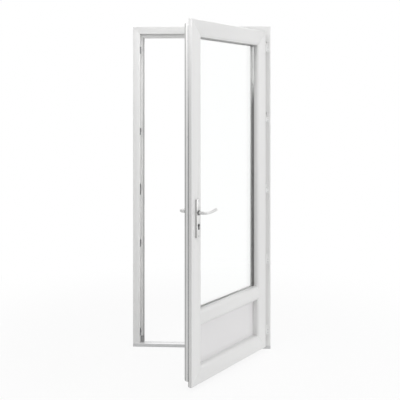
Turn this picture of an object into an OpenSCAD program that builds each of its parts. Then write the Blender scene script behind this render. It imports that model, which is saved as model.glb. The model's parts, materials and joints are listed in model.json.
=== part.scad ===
// Glazed single-leaf door in its frame, shown part open.
// Welded hollow plastic sections, double glazing over a plain lower panel,
// five pin hinges, a key-driven lock with rollers, and a low metal threshold.
// The room side faces -Y, the hinges are on +X, and z = 0 is the underside of the threshold.

/* [Frame] */
// Width of the frame across its outer edges
frame_w = 900; // [780:1:1000]
// Height from the underside of the threshold to the top of the head
frame_h = 2100; // [1980:1:2250]
// Thickness of the frame's stop from the sash side to the outside
stop_t = 15; // [14:1:26]
// Outer edge of the frame to the floor of its rebate
frame_face = 46; // [42:1:54]
// How far the stop stands in from the rebate floor
stop_h = 24; // [20:1:28]
// Wall of the hollow plastic sections
section_wall = 3; // [2.5:0.1:3.5]
// Radius of the fixing holes through the outer wall of each jamb
fixing_hole_r = 4; // [3:0.5:5]
// Height of the outermost fixing holes above the underside, and below the top
fixing_end = 250; // [200:10:320]
// Middle of the lock keep down to the fixing hole below it
fixing_mid_drop = 184; // [150:1:280]
// Middle of the lock keep up to the fixing hole above it
fixing_mid_rise = 216; // [150:1:280]

/* [Threshold] */
// Height of the threshold
threshold_h = 20; // [18:1:26]
// How far the threshold's nose stands out past the frame
threshold_nose = 18; // [12:1:30]
// Wall of the threshold extrusion
threshold_wall = 2.5; // [2:0.1:3]

/* [Sash] */
// Opening angle of the sash, 0 when it is shut
open_angle = 57.5; // [0:0.5:115]
// Depth of the sash from its room face to its outer face
sash_depth = 65; // [62:1:72]
// Thickness of the flange that lies over the frame
overlay_t = 20; // [18:1:21]
// How far that flange lies over the frame
overlay_lap = 8; // [7:0.5:10]
// Air between the sash edge and the rebate floor, for the hardware
hardware_gap = 12; // [11.5:0.5:13]
// Air between sash and frame that a seal closes
seal_gap = 4; // [3:0.5:5]
// Air between the flange and the top of the threshold
floor_gap = 2; // [2:0.5:6]
// Width of the plain face of stiles and rails, outside the beads
sash_face = 78; // [76:1:90]
// Height of the middle of the cross rail
mid_rail_z = 389; // [330:1:600]
// Width of the plain face of the cross rail
mid_rail_face = 48; // [36:1:70]

/* [Glazing] */
// Width of a glazing bead
bead_w = 20; // [18:1:24]
// Depth of a bead in front of the glass
bead_depth = 29; // [24:0.5:30]
// Thickness of the seal on each side of glass and panel
glazing_seal_t = 3; // [2.5:0.1:4]
// Thickness of the whole double-glazed unit
glass_t = 20; // [19:0.5:21]
// Thickness of one pane
pane_t = 4; // [3:0.5:5]
// Thickness of the lower panel
panel_t = 16; // [14:1:18]
// Air between the edge of glass or panel and the sash, filled by setting blocks
edge_gap = 5; // [4:0.5:6]

/* [Hinges] */
// Height of one hinge over both of its knuckles
hinge_h = 64; // [56:1:80]
// Outer radius of a knuckle
knuckle_r = 7; // [6.5:0.5:8.5]
// Radius of a hinge pin
hinge_pin_r = 4; // [3:0.5:4.5]
// Middle of the first and last hinge from the bottom and the top of the frame
hinge_inset = 133; // [110:1:180]

/* [Lock] */
// Sash edge to the handle's axis
backset = 35; // [33:0.5:36]
// Height of the handle's axis
spindle_z = 984; // [960:1:1010]
// Handle's axis down to the lock cylinder's axis
cylinder_drop = 70; // [68:1:76]
// Radius of the turning plug of the lock cylinder
plug_r = 6.5; // [6:0.1:7]
// Travel of the dead bolt
bolt_throw = 20; // [16:1:20]
// How far the latch stands out of the sash edge, which is also its travel
latch_out = 14; // [13.5:0.5:15]
// Travel of the rods and their rollers
rod_travel = 18; // [14:1:20]
// Radius of a roller
roller_r = 4; // [3:0.5:4.5]

/* [Handle] */
// Width of a backplate
plate_w = 36; // [32:1:40]
// Height of a backplate
plate_h = 218; // [216:1:224]
// Thickness of a backplate
plate_t = 10; // [8:0.5:12]
// Middle of the backplate below the handle's axis
plate_drop = 32; // [28:1:36]
// Distance of the grip's middle from the sash face
lever_offset = 57; // [46:1:60]
// Handle's axis to where the grip starts to rise
lever_run = 22; // [20:1:60]
// Radius of the grip's long rise
grip_curve_r = 360; // [250:10:600]
// Angle of that rise
grip_curve_angle = 13.5; // [8:0.5:20]
// Radius of the lever's neck
neck_r = 9; // [8:0.5:10]

/* [Hidden] */
$fn = 64;

// Clearances: every cut runs past its solid by the overrun
overrun = 1;
slack = 0.3;
running_fit = 0.05;
screw_fit = 0.03;

// Frame section
frame_total = frame_face + stop_h;
rebate_d = sash_depth - overlay_t;
frame_depth = rebate_d + stop_t;
face_y = -frame_depth / 2;
sash_y = face_y - seal_gap - overlay_t;
stop_y = face_y + rebate_d;
floor_x = frame_w / 2 - frame_face;
jamb_h = frame_h - threshold_h;
edge_cut = 2;
stop_seal_inset = 4;
seal_slot_w = 3;
seal_slot_d = 4;
seal_lip_w = 5;
back_groove_w = 8;
back_groove_d = 1.5;
steel_wall = 1.5;
steel_end_gap = 4;
fixing_access_r = 6;
cap_head_r = 7.5;
cap_head_t = 1;
fixing_q = section_wall + (rebate_d - 2 * section_wall) / 2;

// Threshold
nose_drop = 6;
nose_lip = 4;
rib_count = 5;
rib_pitch = 6;
rib_w = 2;
rib_d = 0.8;
chamber_count = 3;
pad_h = 40;

// Sash section
overlay_x = floor_x + overlay_lap;
overlay_w = 2 * overlay_x;
overlay_bottom = threshold_h + floor_gap;
overlay_top = frame_h - frame_face + overlay_lap;
overlay_h = overlay_top - overlay_bottom;
body_step = overlay_lap + hardware_gap;
outer_bevel_w = 4;
outer_bevel_d = 12;
sash_total = sash_face + bead_w;
glass_front = bead_depth + glazing_seal_t;
glass_back = glass_front + glass_t;
glazing_back = glass_back + glazing_seal_t;
panel_front = glass_back - panel_t;
panel_bead_depth = panel_front - glazing_seal_t;
groove_set_back = 13;
groove_q = overlay_t + groove_set_back;
faceplate_w = 16;
faceplate_t = 3;
channel_w = 12;
channel_d = 10;
sash_seal_inset = 3;
chamber_p = body_step + channel_d + section_wall;
chamber_back = glass_back - section_wall;
opening_x = overlay_x - sash_face;
glass_low = mid_rail_z + mid_rail_face / 2;
glass_high = overlay_top - sash_face;
panel_low = overlay_bottom + sash_face;
panel_high = mid_rail_z - mid_rail_face / 2;
bottom_seal_inset = 45;
bottom_seal_lip = 4;

// Beads and glazing
bead_flat = 3;
bead_slope = 11;
bead_heel = 5;
bead_notch = 6;
seal_show = 0.4;
outer_seal_show = 2;
seal_cover = 11;
spacer_inset = 8;
spacer_w = 7;
block_length = 100;
block_share = 0.6;

// Hinges
hinge_count = 5;
hinge_side_gap = 1.5;
hinge_set_back = 2;
hinge_x = overlay_x + knuckle_r + hinge_side_gap;
hinge_y = sash_y + hinge_set_back;
hinge_step = (frame_h - 2 * hinge_inset) / (hinge_count - 1);
knuckle_h = hinge_h / 2;
knuckle_end = 2;
knuckle_chamfer = 1.5;
knuckle_end_r = knuckle_r - knuckle_chamfer;
leaf_plate_t = 4;
leaf_plate_w = 24;
leaf_web_share = 0.7;
leaf_screw_inset = 5;
leaf_screw_end = 8;
peg_r = 3;
peg_length = 22;
peg_root = 3;
peg_gap = 14;
screw_r = 2;
screw_head_r = 3.6;
screw_head_h = 2;
screw_length = 14;

// Strikes and keep on the rebate floor of the lock jamb
strike_h = 44;
strike_t = 2.5;
strike_w = 32;
strike_inset = 1;
strike_lip_h = 8;
strike_lip_t = 3.5;
strike_hole_gap = 34;
strike_screw_q = 25;
keep_rise = 50;
keep_z = spindle_z + keep_rise;
keep_h = 70;
keep_hole_gap = 60;
strike_low_end = 95;
strike_mid_drop = 355;
strike_mid_rise = 380;
strike_high_end = 151;
strike_zs = [
    strike_low_end,
    keep_z - strike_mid_drop,
    keep_z + strike_mid_rise,
    frame_h - strike_high_end
];
fixing_zs = [
    fixing_end,
    keep_z - fixing_mid_drop,
    keep_z + fixing_mid_rise,
    frame_h - fixing_end
];

// Lock
edge_x = -overlay_x + body_step;
groove_y = sash_y + groove_q;
handle_inset = body_step + backset;
handle_x = -overlay_x + handle_inset;
cylinder_z = spindle_z - cylinder_drop;
bolt_half_gap = 19;
latch_z = keep_z + bolt_half_gap;
bolt_z = keep_z - bolt_half_gap;
latch_h = 20;
latch_w = 12;
latch_length = 25;
latch_nose = 2.5;
latch_slope = 11;
bolt_h = 24;
bolt_w = 10;
bolt_length = 32;
case_t = 15;
case_head = 12;
case_tail = 44;
case_back = 15;
case_top = latch_z + latch_h / 2 + case_head;
case_bottom = cylinder_z - case_tail;
case_depth = backset + case_back;
case_wall_gap = 0.15;
follower_r = 11;
follower_t = case_t - 2 * slack;
spindle_w = 8;
euro_r = 8.5;
euro_tail_w = 10;
euro_h = 33;
euro_proud = 2;
cam_r = 13.5;
cam_t = 9.6;
cam_w = 7;
key_slot_w = 2;
key_slot_h = 9;
key_slot_d = 20;
rod_w = channel_w - 2 * slack;
rod_t = 2.5;
rod_end = 16;
roller_out = 8;
faceplate_end = 15;

// Handle
plate_corner_r = 6;
plate_crown = 2;
crown_r = (plate_w * plate_w / 4 + plate_crown * plate_crown) / (2 * plate_crown);
plate_z = spindle_z - plate_drop;
plate_screw_end = 11;
plate_screw_r = 2.5;
plate_screw_head_r = 4.5;
plate_screw_head_h = 2.5;
plate_screw_bite = 6;
neck_seat = 2;
ring_r = 13;
ring_proud = 5;
bend_r = 16;
grip_h = 16;
grip_t = 12;
tip_step = 0.3;
socket_depth = 28;

white = "#eef0f0";
grey = "#b7babd";
steel = "#8f9498";
black = "#2a2b2c";

function hinge_z(i) = hinge_inset + (i - 1) * hinge_step;
function roller_z(c) = c - rod_travel / 2;

// Turns what is modelled shut about the hinge axis to the opening angle
module opened() {
    translate([hinge_x, hinge_y, 0])
        rotate([0, 0, open_angle])
            translate([-hinge_x, -hinge_y, 0])
                children();
}

// A bar along +Z with its section at the left of an opening, outer edge on x = 0.
// Each end is mitred at 45 degrees where its flag is 1, and square where it is 0.
module mitred_bar(length, width, low = 1, high = 1) {
    reach = width + overrun;
    depth = 2 * frame_depth;
    intersection() {
        linear_extrude(length)
            children();
        rotate([90, 0, 0])
            translate([0, 0, -depth])
                linear_extrude(2 * depth)
                    polygon([
                        [-overrun, -overrun],
                        [reach, low == 1 ? reach : -overrun],
                        [reach, length - (high == 1 ? reach : -overrun)],
                        [-overrun, length + overrun]
                    ]);
    }
}

// One of four mitred bars round a rectangle that is centred on x = 0
module bar_round(side, half_w, z_low, z_high, y, width) {
    flip_x = side == "right" ? 1 : 0;
    flip_z = side == "top" ? 1 : 0;
    upright = side == "left" || side == "right";
    translate([0, 0, flip_z * (z_low + z_high)])
        mirror([flip_x, 0, flip_z])
            translate([-half_w, y, z_low])
                if (upright)
                    mitred_bar(z_high - z_low, width) children();
                else
                    mirror([1, 0, -1])
                        mitred_bar(2 * half_w, width) children();
}

// A flat ring, in from a rectangle by one inset on its outside and by another on its inside
module ring(half_w, z_low, z_high, outer, inner, y, t) {
    translate([0, y, 0])
        rotate([-90, 0, 0])
            mirror([0, 1, 0])
                linear_extrude(t)
                    difference() {
                        inset_rect(half_w, z_low, z_high, outer);
                        inset_rect(half_w, z_low, z_high, inner);
                    }
}

module inset_rect(half_w, z_low, z_high, inset) {
    translate([-half_w + inset, z_low + inset])
        square([2 * (half_w - inset), z_high - z_low - 2 * inset]);
}

// A round bar or hole along +Y
module round_y(x, y, z, r, length) {
    translate([x, y, z])
        rotate([-90, 0, 0])
            cylinder(r = r, h = length);
}

// A round bar or hole along +X
module round_x(x, y, z, r, length) {
    translate([x, y, z])
        rotate([0, 90, 0])
            cylinder(r = r, h = length);
}

// A block given by its lowest corner and its size
module block(corner, size) {
    translate(corner)
        cube(size);
}

// Outline with round ends, longer along y
module stadium(w, h) {
    r = w / 2;
    square([w, h - w], center = true);
    for (s = [-1, 1])
        translate([0, s * (h / 2 - r)])
            circle(r);
}

// Upright round pin with domed ends
module domed_pin(w, h) {
    rotate_extrude()
        intersection() {
            stadium(w, h);
            translate([0, -h])
                square([w, 2 * h]);
        }
}

// Frame

// Section of jambs and head: p from the outer edge inwards, q from the room side outwards
module frame_section() {
    difference() {
        polygon([
            [0, 0],
            [frame_face - edge_cut, 0],
            [frame_face, edge_cut],
            [frame_face, rebate_d],
            [frame_total - edge_cut, rebate_d],
            [frame_total, rebate_d + edge_cut],
            [frame_total, frame_depth - edge_cut],
            [frame_total - edge_cut, frame_depth],
            [0, frame_depth]
        ]);
        translate([section_wall, section_wall])
            square([frame_face - 2 * section_wall, rebate_d - 2 * section_wall]);
        translate([section_wall, rebate_d + seal_slot_d + section_wall])
            square([
                frame_total - 2 * section_wall,
                frame_depth - rebate_d - seal_slot_d - 2 * section_wall
            ]);
        translate([frame_face + stop_seal_inset, rebate_d - overrun])
            square([seal_slot_w, seal_slot_d + overrun]);
        translate([-overrun, rebate_d - back_groove_w / 2])
            square([back_groove_d + overrun, back_groove_w]);
    }
}

// The left jamb stands on the threshold and is mitred to the head
module jamb() {
    translate([-frame_w / 2, face_y, threshold_h])
        mitred_bar(jamb_h, frame_total, 0, 1)
            frame_section();
}

// Square steel tube in the main chamber of a bar, cut square at both ends
module steel_tube(p_low, p_high, q_low, q_high, length) {
    linear_extrude(length)
        difference() {
            translate([p_low, q_low])
                square([p_high - p_low, q_high - q_low]);
            translate([p_low + steel_wall, q_low + steel_wall])
                square([p_high - p_low - 2 * steel_wall, q_high - q_low - 2 * steel_wall]);
        }
}

module frame_tube(length) {
    steel_tube(
        section_wall + slack, frame_face - section_wall - slack,
        section_wall + slack, rebate_d - section_wall - slack, length
    );
}

module jamb_tube() {
    translate([-frame_w / 2, face_y, threshold_h])
        frame_tube(jamb_h - frame_face - steel_end_gap);
}

// Holes for the screws that fix a left jamb to the wall, wider on the rebate side
module fixing_holes(outer_r) {
    for (z = fixing_zs) {
        round_x(-frame_w / 2 - overrun, face_y + fixing_q, z, outer_r, frame_face / 2 + overrun);
        round_x(-frame_w / 2 + frame_face / 2, face_y + fixing_q, z, fixing_access_r, frame_face);
    }
}

// Places of the screws in the strikes and in the keep
module strike_screw_places() {
    y = face_y + strike_screw_q;
    for (c = strike_zs, s = [-1, 1])
        translate([-floor_x, y, c + s * strike_hole_gap / 2])
            children();
    for (s = [-1, 1])
        translate([-floor_x, y, keep_z + s * keep_hole_gap / 2])
            children();
}

// Shanks of the strike screws, running into the jamb
module strike_shanks(r) {
    strike_screw_places()
        rotate([0, -90, 0])
            translate([0, 0, -strike_t])
                cylinder(r = r, h = screw_length);
}

// Room behind the keep for the latch and the dead bolt
module keep_pockets() {
    depth = max(bolt_throw, latch_out) - hardware_gap + 2 * overrun;
    for (hole = [[latch_z, latch_h, latch_w], [bolt_z, bolt_h, bolt_w]])
        block(
            [-floor_x - depth, groove_y - hole[2] / 2 - overrun, hole[0] - hole[1] / 2 - overrun],
            [depth + strike_t + overrun, hole[2] + 2 * overrun, hole[1] + 2 * overrun]
        );
}

// Shanks of the hinge screws, along +Y into the hinge jamb
module hinge_shanks(r) {
    for (i = [1 : hinge_count], s = [0, 1])
        round_y(
            hinge_screw_x(), face_y - leaf_plate_t, hinge_screw_z(i, s), r, screw_length
        );
}

function hinge_screw_x() = leaf_left() + leaf_plate_w - leaf_screw_inset;
function hinge_screw_z(i, s) =
    hinge_z(i) - hinge_h / 2 + leaf_screw_end + s * (knuckle_h - 2 * leaf_screw_end);
function leaf_left() = overlay_x + hinge_side_gap;

module frame_head() {
    color(white)
        translate([0, 0, frame_h])
            mirror([0, 0, 1])
                translate([-frame_w / 2, face_y, 0])
                    mirror([1, 0, -1])
                        mitred_bar(frame_w, frame_total)
                            frame_section();
}

module frame_lock_jamb() {
    color(white)
        difference() {
            jamb();
            fixing_holes(fixing_hole_r);
            strike_shanks(screw_r + screw_fit);
            keep_pockets();
        }
}

module frame_hinge_jamb() {
    color(white)
        difference() {
            mirror([1, 0, 0])
                jamb();
            mirror([1, 0, 0])
                fixing_holes(fixing_hole_r);
            hinge_shanks(screw_r + screw_fit);
        }
}

module frame_steels() {
    color(steel) {
        difference() {
            jamb_tube();
            fixing_holes(fixing_access_r);
            strike_shanks(screw_r + screw_fit);
            keep_pockets();
        }
        difference() {
            mirror([1, 0, 0])
                jamb_tube();
            mirror([1, 0, 0])
                fixing_holes(fixing_access_r);
            hinge_shanks(screw_r + screw_fit);
        }
        end = frame_face + steel_end_gap;
        translate([-frame_w / 2 + end, face_y, frame_h])
            mirror([0, 0, 1])
                mirror([1, 0, -1])
                    frame_tube(frame_w - 2 * end);
    }
}

// Band round the jambs and the head, open at the foot
module stop_band(outer, inner, y, t) {
    foot = threshold_h + pad_h;
    difference() {
        ring(frame_w / 2, foot - frame_total, frame_h, outer, inner, y, t);
        block(
            [-frame_w / 2, y - overrun, foot - 2 * frame_total],
            [frame_w, t + 2 * overrun, 2 * frame_total]
        );
    }
}

module frame_seal() {
    slot = frame_face + stop_seal_inset;
    color(grey) {
        stop_band(
            slot + slack / 2, slot + seal_slot_w - slack / 2,
            stop_y - seal_gap / 2, seal_slot_d - slack + seal_gap / 2
        );
        stop_band(
            slot - (seal_lip_w - seal_slot_w) / 2, slot + (seal_lip_w + seal_slot_w) / 2,
            stop_y - seal_gap + slack, seal_gap - slack
        );
    }
}

// Low extrusion under the jambs, with hollow chambers, fine ribs and a sloping nose
module threshold() {
    back = frame_depth / 2;
    chamber_w = (frame_depth - (chamber_count + 1) * threshold_wall) / chamber_count;
    color(grey)
        translate([-frame_w / 2, 0, 0])
            rotate([90, 0, 90])
                linear_extrude(frame_w)
                    difference() {
                        polygon([
                            [face_y, 0],
                            [face_y, threshold_h],
                            [back, threshold_h],
                            [back + threshold_nose, threshold_h - nose_drop],
                            [back + threshold_nose, nose_lip],
                            [back, 0]
                        ]);
                        for (i = [0 : chamber_count - 1])
                            translate([
                                face_y + threshold_wall + i * (chamber_w + threshold_wall),
                                threshold_wall
                            ])
                                square([chamber_w, threshold_h - 2 * threshold_wall]);
                        for (i = [0 : rib_count - 1])
                            translate([(i - rib_count / 4) * rib_pitch, threshold_h - rib_d])
                                square([rib_w, rib_d + overrun]);
                    }
}

// Soft pads that close the corner between stop and threshold
module threshold_end_pads() {
    color(black)
        for (flip = [0, 1])
            mirror([flip, 0, 0])
                block(
                    [-floor_x, stop_y - seal_gap + slack, threshold_h],
                    [stop_h, seal_gap - slack, pad_h]
                );
}

// Plugs in the access holes of the wall fixings
module fixing_caps() {
    color(white)
        for (flip = [0, 1], z = fixing_zs)
            mirror([flip, 0, 0]) {
                round_x(
                    -floor_x - section_wall, face_y + fixing_q, z,
                    fixing_access_r - screw_fit, section_wall + cap_head_t / 2
                );
                round_x(-floor_x, face_y + fixing_q, z, cap_head_r, cap_head_t);
            }
}

// Plate with a lip that a roller slides behind when the rods rise
module strikes() {
    y = face_y + strike_inset;
    lip_low = -roller_r / 2;
    color(steel)
        for (c = strike_zs)
            difference() {
                union() {
                    block([-floor_x, y, c - strike_h / 2], [strike_t, strike_w, strike_h]);
                    block(
                        [-floor_x, y, c + lip_low],
                        [strike_lip_h, strike_lip_t, strike_h / 2 - lip_low]
                    );
                }
                strike_shanks(screw_r + screw_fit);
                strike_heads(screw_fit);
            }
}

// Countersunk heads of the strike screws, or their seats
module strike_heads(grow) {
    strike_screw_places()
        rotate([0, 90, 0])
            translate([0, 0, strike_t - screw_head_h])
                cylinder(r1 = screw_r + grow, r2 = screw_head_r + grow, h = screw_head_h);
}

module lock_keep() {
    color(steel)
        difference() {
            block(
                [-floor_x, face_y + strike_inset, keep_z - keep_h / 2],
                [strike_t, strike_w, keep_h]
            );
            keep_pockets();
            strike_shanks(screw_r + screw_fit);
            strike_heads(screw_fit);
        }
}

module strike_screws() {
    color(steel)
        union() {
            strike_heads(0);
            strike_screw_places()
                rotate([0, -90, 0])
                    translate([0, 0, screw_head_h / 2 - strike_t])
                        cylinder(r = screw_r, h = screw_length - screw_head_h / 2);
        }
}

// Hinges

// Upright knuckle with a chamfer at its outer end
module knuckle(bore_r) {
    difference() {
        union() {
            cylinder(r = knuckle_r, h = knuckle_h - knuckle_end);
            translate([0, 0, knuckle_h - knuckle_end])
                cylinder(r1 = knuckle_r, r2 = knuckle_end_r, h = knuckle_end);
        }
        translate([0, 0, -overrun])
            cylinder(r = bore_r, h = knuckle_h - knuckle_end + overrun);
    }
}

// Lower knuckle on a foot that is screwed to the face of the hinge jamb
module hinge_frame_leaf(i) {
    web_top = face_y - leaf_plate_t;
    color(white)
        difference() {
            union() {
                translate([hinge_x, hinge_y, hinge_z(i)])
                    mirror([0, 0, 1])
                        knuckle(hinge_pin_r + screw_fit);
                translate([0, 0, hinge_z(i) - knuckle_h])
                    linear_extrude(knuckle_h)
                        difference() {
                            union() {
                                polygon([
                                    [hinge_x - leaf_web_share * knuckle_r, hinge_y],
                                    [hinge_x + knuckle_r, hinge_y],
                                    [hinge_x + knuckle_r, web_top],
                                    [leaf_left(), web_top]
                                ]);
                                translate([leaf_left(), web_top])
                                    square([leaf_plate_w, leaf_plate_t]);
                            }
                            translate([hinge_x, hinge_y])
                                circle(knuckle_r - knuckle_end / 2);
                        }
            }
            hinge_shanks(screw_r + screw_fit);
            hinge_screw_heads(screw_fit);
        }
}

// Countersunk heads of the hinge screws, or their seats
module hinge_screw_heads(grow) {
    for (i = [1 : hinge_count], s = [0, 1])
        translate([hinge_screw_x(), face_y - leaf_plate_t, hinge_screw_z(i, s)])
            rotate([-90, 0, 0])
                cylinder(r1 = screw_head_r + grow, r2 = screw_r + grow, h = screw_head_h);
}

module hinge_screws() {
    color(steel)
        union() {
            hinge_screw_heads(0);
            for (i = [1 : hinge_count], s = [0, 1])
                round_y(
                    hinge_screw_x(), face_y - leaf_plate_t + screw_head_h / 2, hinge_screw_z(i, s),
                    screw_r, screw_length - screw_head_h / 2
                );
        }
}

module hinge_pins() {
    length = hinge_h - 2 * knuckle_end - 2 * slack;
    color(steel)
        for (i = [1 : hinge_count])
            translate([hinge_x, hinge_y, hinge_z(i) - length / 2])
                cylinder(r = hinge_pin_r, h = length);
}

// Places of the pegs that carry a sash leaf in the edge of the flange
module peg_places(i) {
    for (s = [-1, 1])
        translate([overlay_x, sash_y + overlay_t / 2, hinge_z(i) + knuckle_h / 2 + s * peg_gap / 2])
            rotate([0, -90, 0])
                children();
}

// Upper knuckle with a cheek on the edge of the flange and two pegs in it
module hinge_sash_leaf(i) {
    color(white)
        opened() {
            translate([hinge_x, hinge_y, hinge_z(i) + slack])
                knuckle(hinge_pin_r + running_fit);
            translate([0, 0, hinge_z(i) + slack])
                linear_extrude(knuckle_h - knuckle_end - slack)
                    difference() {
                        polygon([
                            [overlay_x, sash_y + edge_cut],
                            [hinge_x, hinge_y - knuckle_r],
                            [hinge_x, hinge_y + knuckle_r],
                            [overlay_x, sash_y + overlay_t - edge_cut]
                        ]);
                        translate([hinge_x, hinge_y])
                            circle(knuckle_r - knuckle_end / 2);
                    }
            peg_places(i)
                translate([0, 0, -peg_root])
                    cylinder(r = peg_r, h = peg_root + peg_length);
        }
}

// Sash

// Section of stiles and rails: p from the edge of the flange inwards, q from the room face outwards
module sash_section() {
    difference() {
        polygon([
            [edge_cut, 0],
            [sash_face, 0],
            [sash_face, glazing_back],
            [sash_total, glazing_back],
            [sash_total, sash_depth - edge_cut],
            [sash_total - edge_cut, sash_depth],
            [body_step + outer_bevel_w, sash_depth],
            [body_step, sash_depth - outer_bevel_d],
            [body_step, overlay_t],
            [0, overlay_t],
            [0, edge_cut]
        ]);
        translate([chamber_p, section_wall])
            square([sash_face - section_wall - chamber_p, chamber_back - section_wall]);
        translate([body_step + outer_bevel_w + section_wall, glass_back])
            square([
                sash_face - body_step - outer_bevel_w - 2 * section_wall,
                sash_depth - section_wall - glass_back
            ]);
        translate([body_step - overrun, groove_q - faceplate_w / 2])
            square([faceplate_t + overrun, faceplate_w]);
        translate([body_step - overrun, groove_q - channel_w / 2])
            square([channel_d + overrun, channel_w]);
        translate([sash_seal_inset, overlay_t - seal_slot_d])
            square([seal_slot_w, seal_slot_d + overrun]);
    }
}

module sash_bar(side) {
    bar_round(side, overlay_x, overlay_bottom, overlay_top, sash_y, sash_total)
        sash_section();
}

// Outline of a lock cylinder: a round head over a narrow tail, in x and z
module euro_outline(grow) {
    tail_r = euro_tail_w / 2 + grow;
    drop = euro_h - euro_r - euro_tail_w / 2;
    circle(euro_r + grow);
    translate([-tail_r, -drop])
        square([2 * tail_r, drop]);
    translate([0, -drop])
        circle(tail_r);
}

// That outline carried along +Y at the lock cylinder's place
module euro_bar(grow, y, length) {
    translate([handle_x, y, cylinder_z])
        rotate([-90, 0, 0])
            mirror([0, 1, 0])
                linear_extrude(length)
                    euro_outline(grow);
}

module plate_screw_places() {
    for (s = [-1, 1])
        translate([handle_x, 0, plate_z + s * (plate_h / 2 - plate_screw_end)])
            children();
}

// What the lock and the handles need cut out of the lock stile and its tube
module lock_cuts() {
    block(
        [edge_x - overrun, groove_y - case_t / 2 - case_wall_gap, case_bottom - case_wall_gap],
        [
            faceplate_t + case_depth + overrun + case_wall_gap,
            case_t + 2 * case_wall_gap,
            case_top - case_bottom + 2 * case_wall_gap
        ]
    );
    round_y(handle_x, sash_y - overrun, spindle_z, neck_r + slack, sash_depth + 2 * overrun);
    euro_bar(slack, sash_y - overrun, sash_depth + 2 * overrun);
    plate_screw_places()
        round_y(0, sash_y - overrun, 0, plate_screw_r + slack, sash_depth + 2 * overrun);
}

module peg_holes() {
    for (i = [1 : hinge_count])
        peg_places(i)
            translate([0, 0, -overrun])
                cylinder(r = peg_r + screw_fit, h = peg_length + overrun + slack);
}

module sash_top_rail() {
    color(white)
        opened()
            sash_bar("top");
}

module sash_bottom_rail() {
    color(white)
        opened()
            sash_bar("bottom");
}

module sash_lock_stile() {
    color(white)
        opened()
            difference() {
                sash_bar("left");
                lock_cuts();
            }
}

module sash_hinge_stile() {
    color(white)
        opened()
            difference() {
                sash_bar("right");
                peg_holes();
            }
}

// Cross rail between the stiles, with a rebate on both sides
module sash_mid_rail() {
    half = mid_rail_face / 2;
    lip = half + bead_w;
    lip_x = overlay_x - sash_total;
    tongue = half - section_wall;
    color(white)
        opened()
            translate([0, sash_y, mid_rail_z]) {
                translate([-opening_x, 0, 0])
                    rotate([90, 0, 90])
                        linear_extrude(2 * opening_x)
                            difference() {
                                translate([0, -half])
                                    square([glazing_back, mid_rail_face]);
                                translate([section_wall, section_wall - half])
                                    square([
                                        chamber_back - section_wall,
                                        mid_rail_face - 2 * section_wall
                                    ]);
                            }
                translate([-lip_x, 0, 0])
                    rotate([90, 0, 90])
                        linear_extrude(2 * lip_x)
                            polygon([
                                [glazing_back, -lip],
                                [glazing_back, -tongue],
                                [glass_back, -tongue],
                                [glass_back, tongue],
                                [glazing_back, tongue],
                                [glazing_back, lip],
                                [sash_depth - edge_cut, lip],
                                [sash_depth, lip - edge_cut],
                                [sash_depth, edge_cut - lip],
                                [sash_depth - edge_cut, -lip]
                            ]);
            }
}

module sash_tube(length) {
    steel_tube(
        chamber_p + slack, sash_face - section_wall - slack,
        section_wall + slack, chamber_back - slack, length
    );
}

module sash_steels() {
    end = sash_face + steel_end_gap;
    color(steel)
        opened() {
            difference() {
                translate([-overlay_x, sash_y, overlay_bottom + end])
                    sash_tube(overlay_h - 2 * end);
                lock_cuts();
            }
            mirror([1, 0, 0])
                translate([-overlay_x, sash_y, overlay_bottom + end])
                    sash_tube(overlay_h - 2 * end);
            translate([-overlay_x + end, sash_y, overlay_bottom])
                mirror([1, 0, -1])
                    sash_tube(overlay_w - 2 * end);
            translate([-overlay_x + end, sash_y, overlay_top])
                mirror([0, 0, 1])
                    mirror([1, 0, -1])
                        sash_tube(overlay_w - 2 * end);
        }
}

module sash_seal() {
    color(black)
        opened() {
            ring(
                overlay_x, overlay_bottom, overlay_top,
                sash_seal_inset + slack / 2, sash_seal_inset + seal_slot_w - slack / 2,
                sash_y + overlay_t - seal_slot_d + slack, seal_slot_d - slack + seal_gap / 2
            );
            ring(
                overlay_x, overlay_bottom, overlay_top,
                sash_seal_inset - (seal_lip_w - seal_slot_w) / 2,
                sash_seal_inset + (seal_lip_w + seal_slot_w) / 2,
                sash_y + overlay_t, seal_gap - slack
            );
        }
}

// Sweep seal clipped in the groove of the bottom rail, just clear of the threshold
module bottom_seal() {
    rail_z = overlay_bottom + body_step;
    shoulder_z = rail_z + faceplate_t;
    half = faceplate_w / 2 - slack;
    foot = channel_w / 2 - slack;
    length = overlay_w - 2 * bottom_seal_inset;
    color(black)
        opened()
            translate([-length / 2, groove_y, 0])
                rotate([90, 0, 90])
                    linear_extrude(length)
                        polygon([
                            [-foot, rail_z + channel_d - slack],
                            [foot, rail_z + channel_d - slack],
                            [foot, shoulder_z],
                            [half, shoulder_z],
                            [half, threshold_h + bottom_seal_lip],
                            [bottom_seal_lip / 2, threshold_h + slack],
                            [-bottom_seal_lip / 2, threshold_h + slack],
                            [-half, threshold_h + bottom_seal_lip],
                            [-half, shoulder_z],
                            [-foot, shoulder_z]
                        ]);
}

// Glazing

// Section of a bead: flat top, rounded shoulder towards the glass, and a heel that clips in
module bead_section(depth) {
    round_w = bead_w - bead_flat;
    shoulder_r = (round_w ^ 2 + bead_slope ^ 2) / (2 * bead_slope);
    difference() {
        polygon([
            [0, 0],
            [bead_w, 0],
            [bead_w, depth],
            [bead_heel, depth],
            [bead_heel, depth - bead_notch],
            [0, depth - bead_notch]
        ]);
        difference() {
            translate([bead_flat, -overrun])
                square([round_w + overrun, bead_slope + overrun]);
            translate([bead_flat, shoulder_r])
                circle(shoulder_r);
        }
    }
}

module glass_bead(side) {
    color(white)
        opened()
            bar_round(side, opening_x, glass_low, glass_high, sash_y, bead_w)
                bead_section(bead_depth);
}

module panel_bead(side) {
    color(white)
        opened()
            bar_round(side, opening_x, panel_low, panel_high, sash_y, bead_w)
                bead_section(panel_bead_depth);
}

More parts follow.
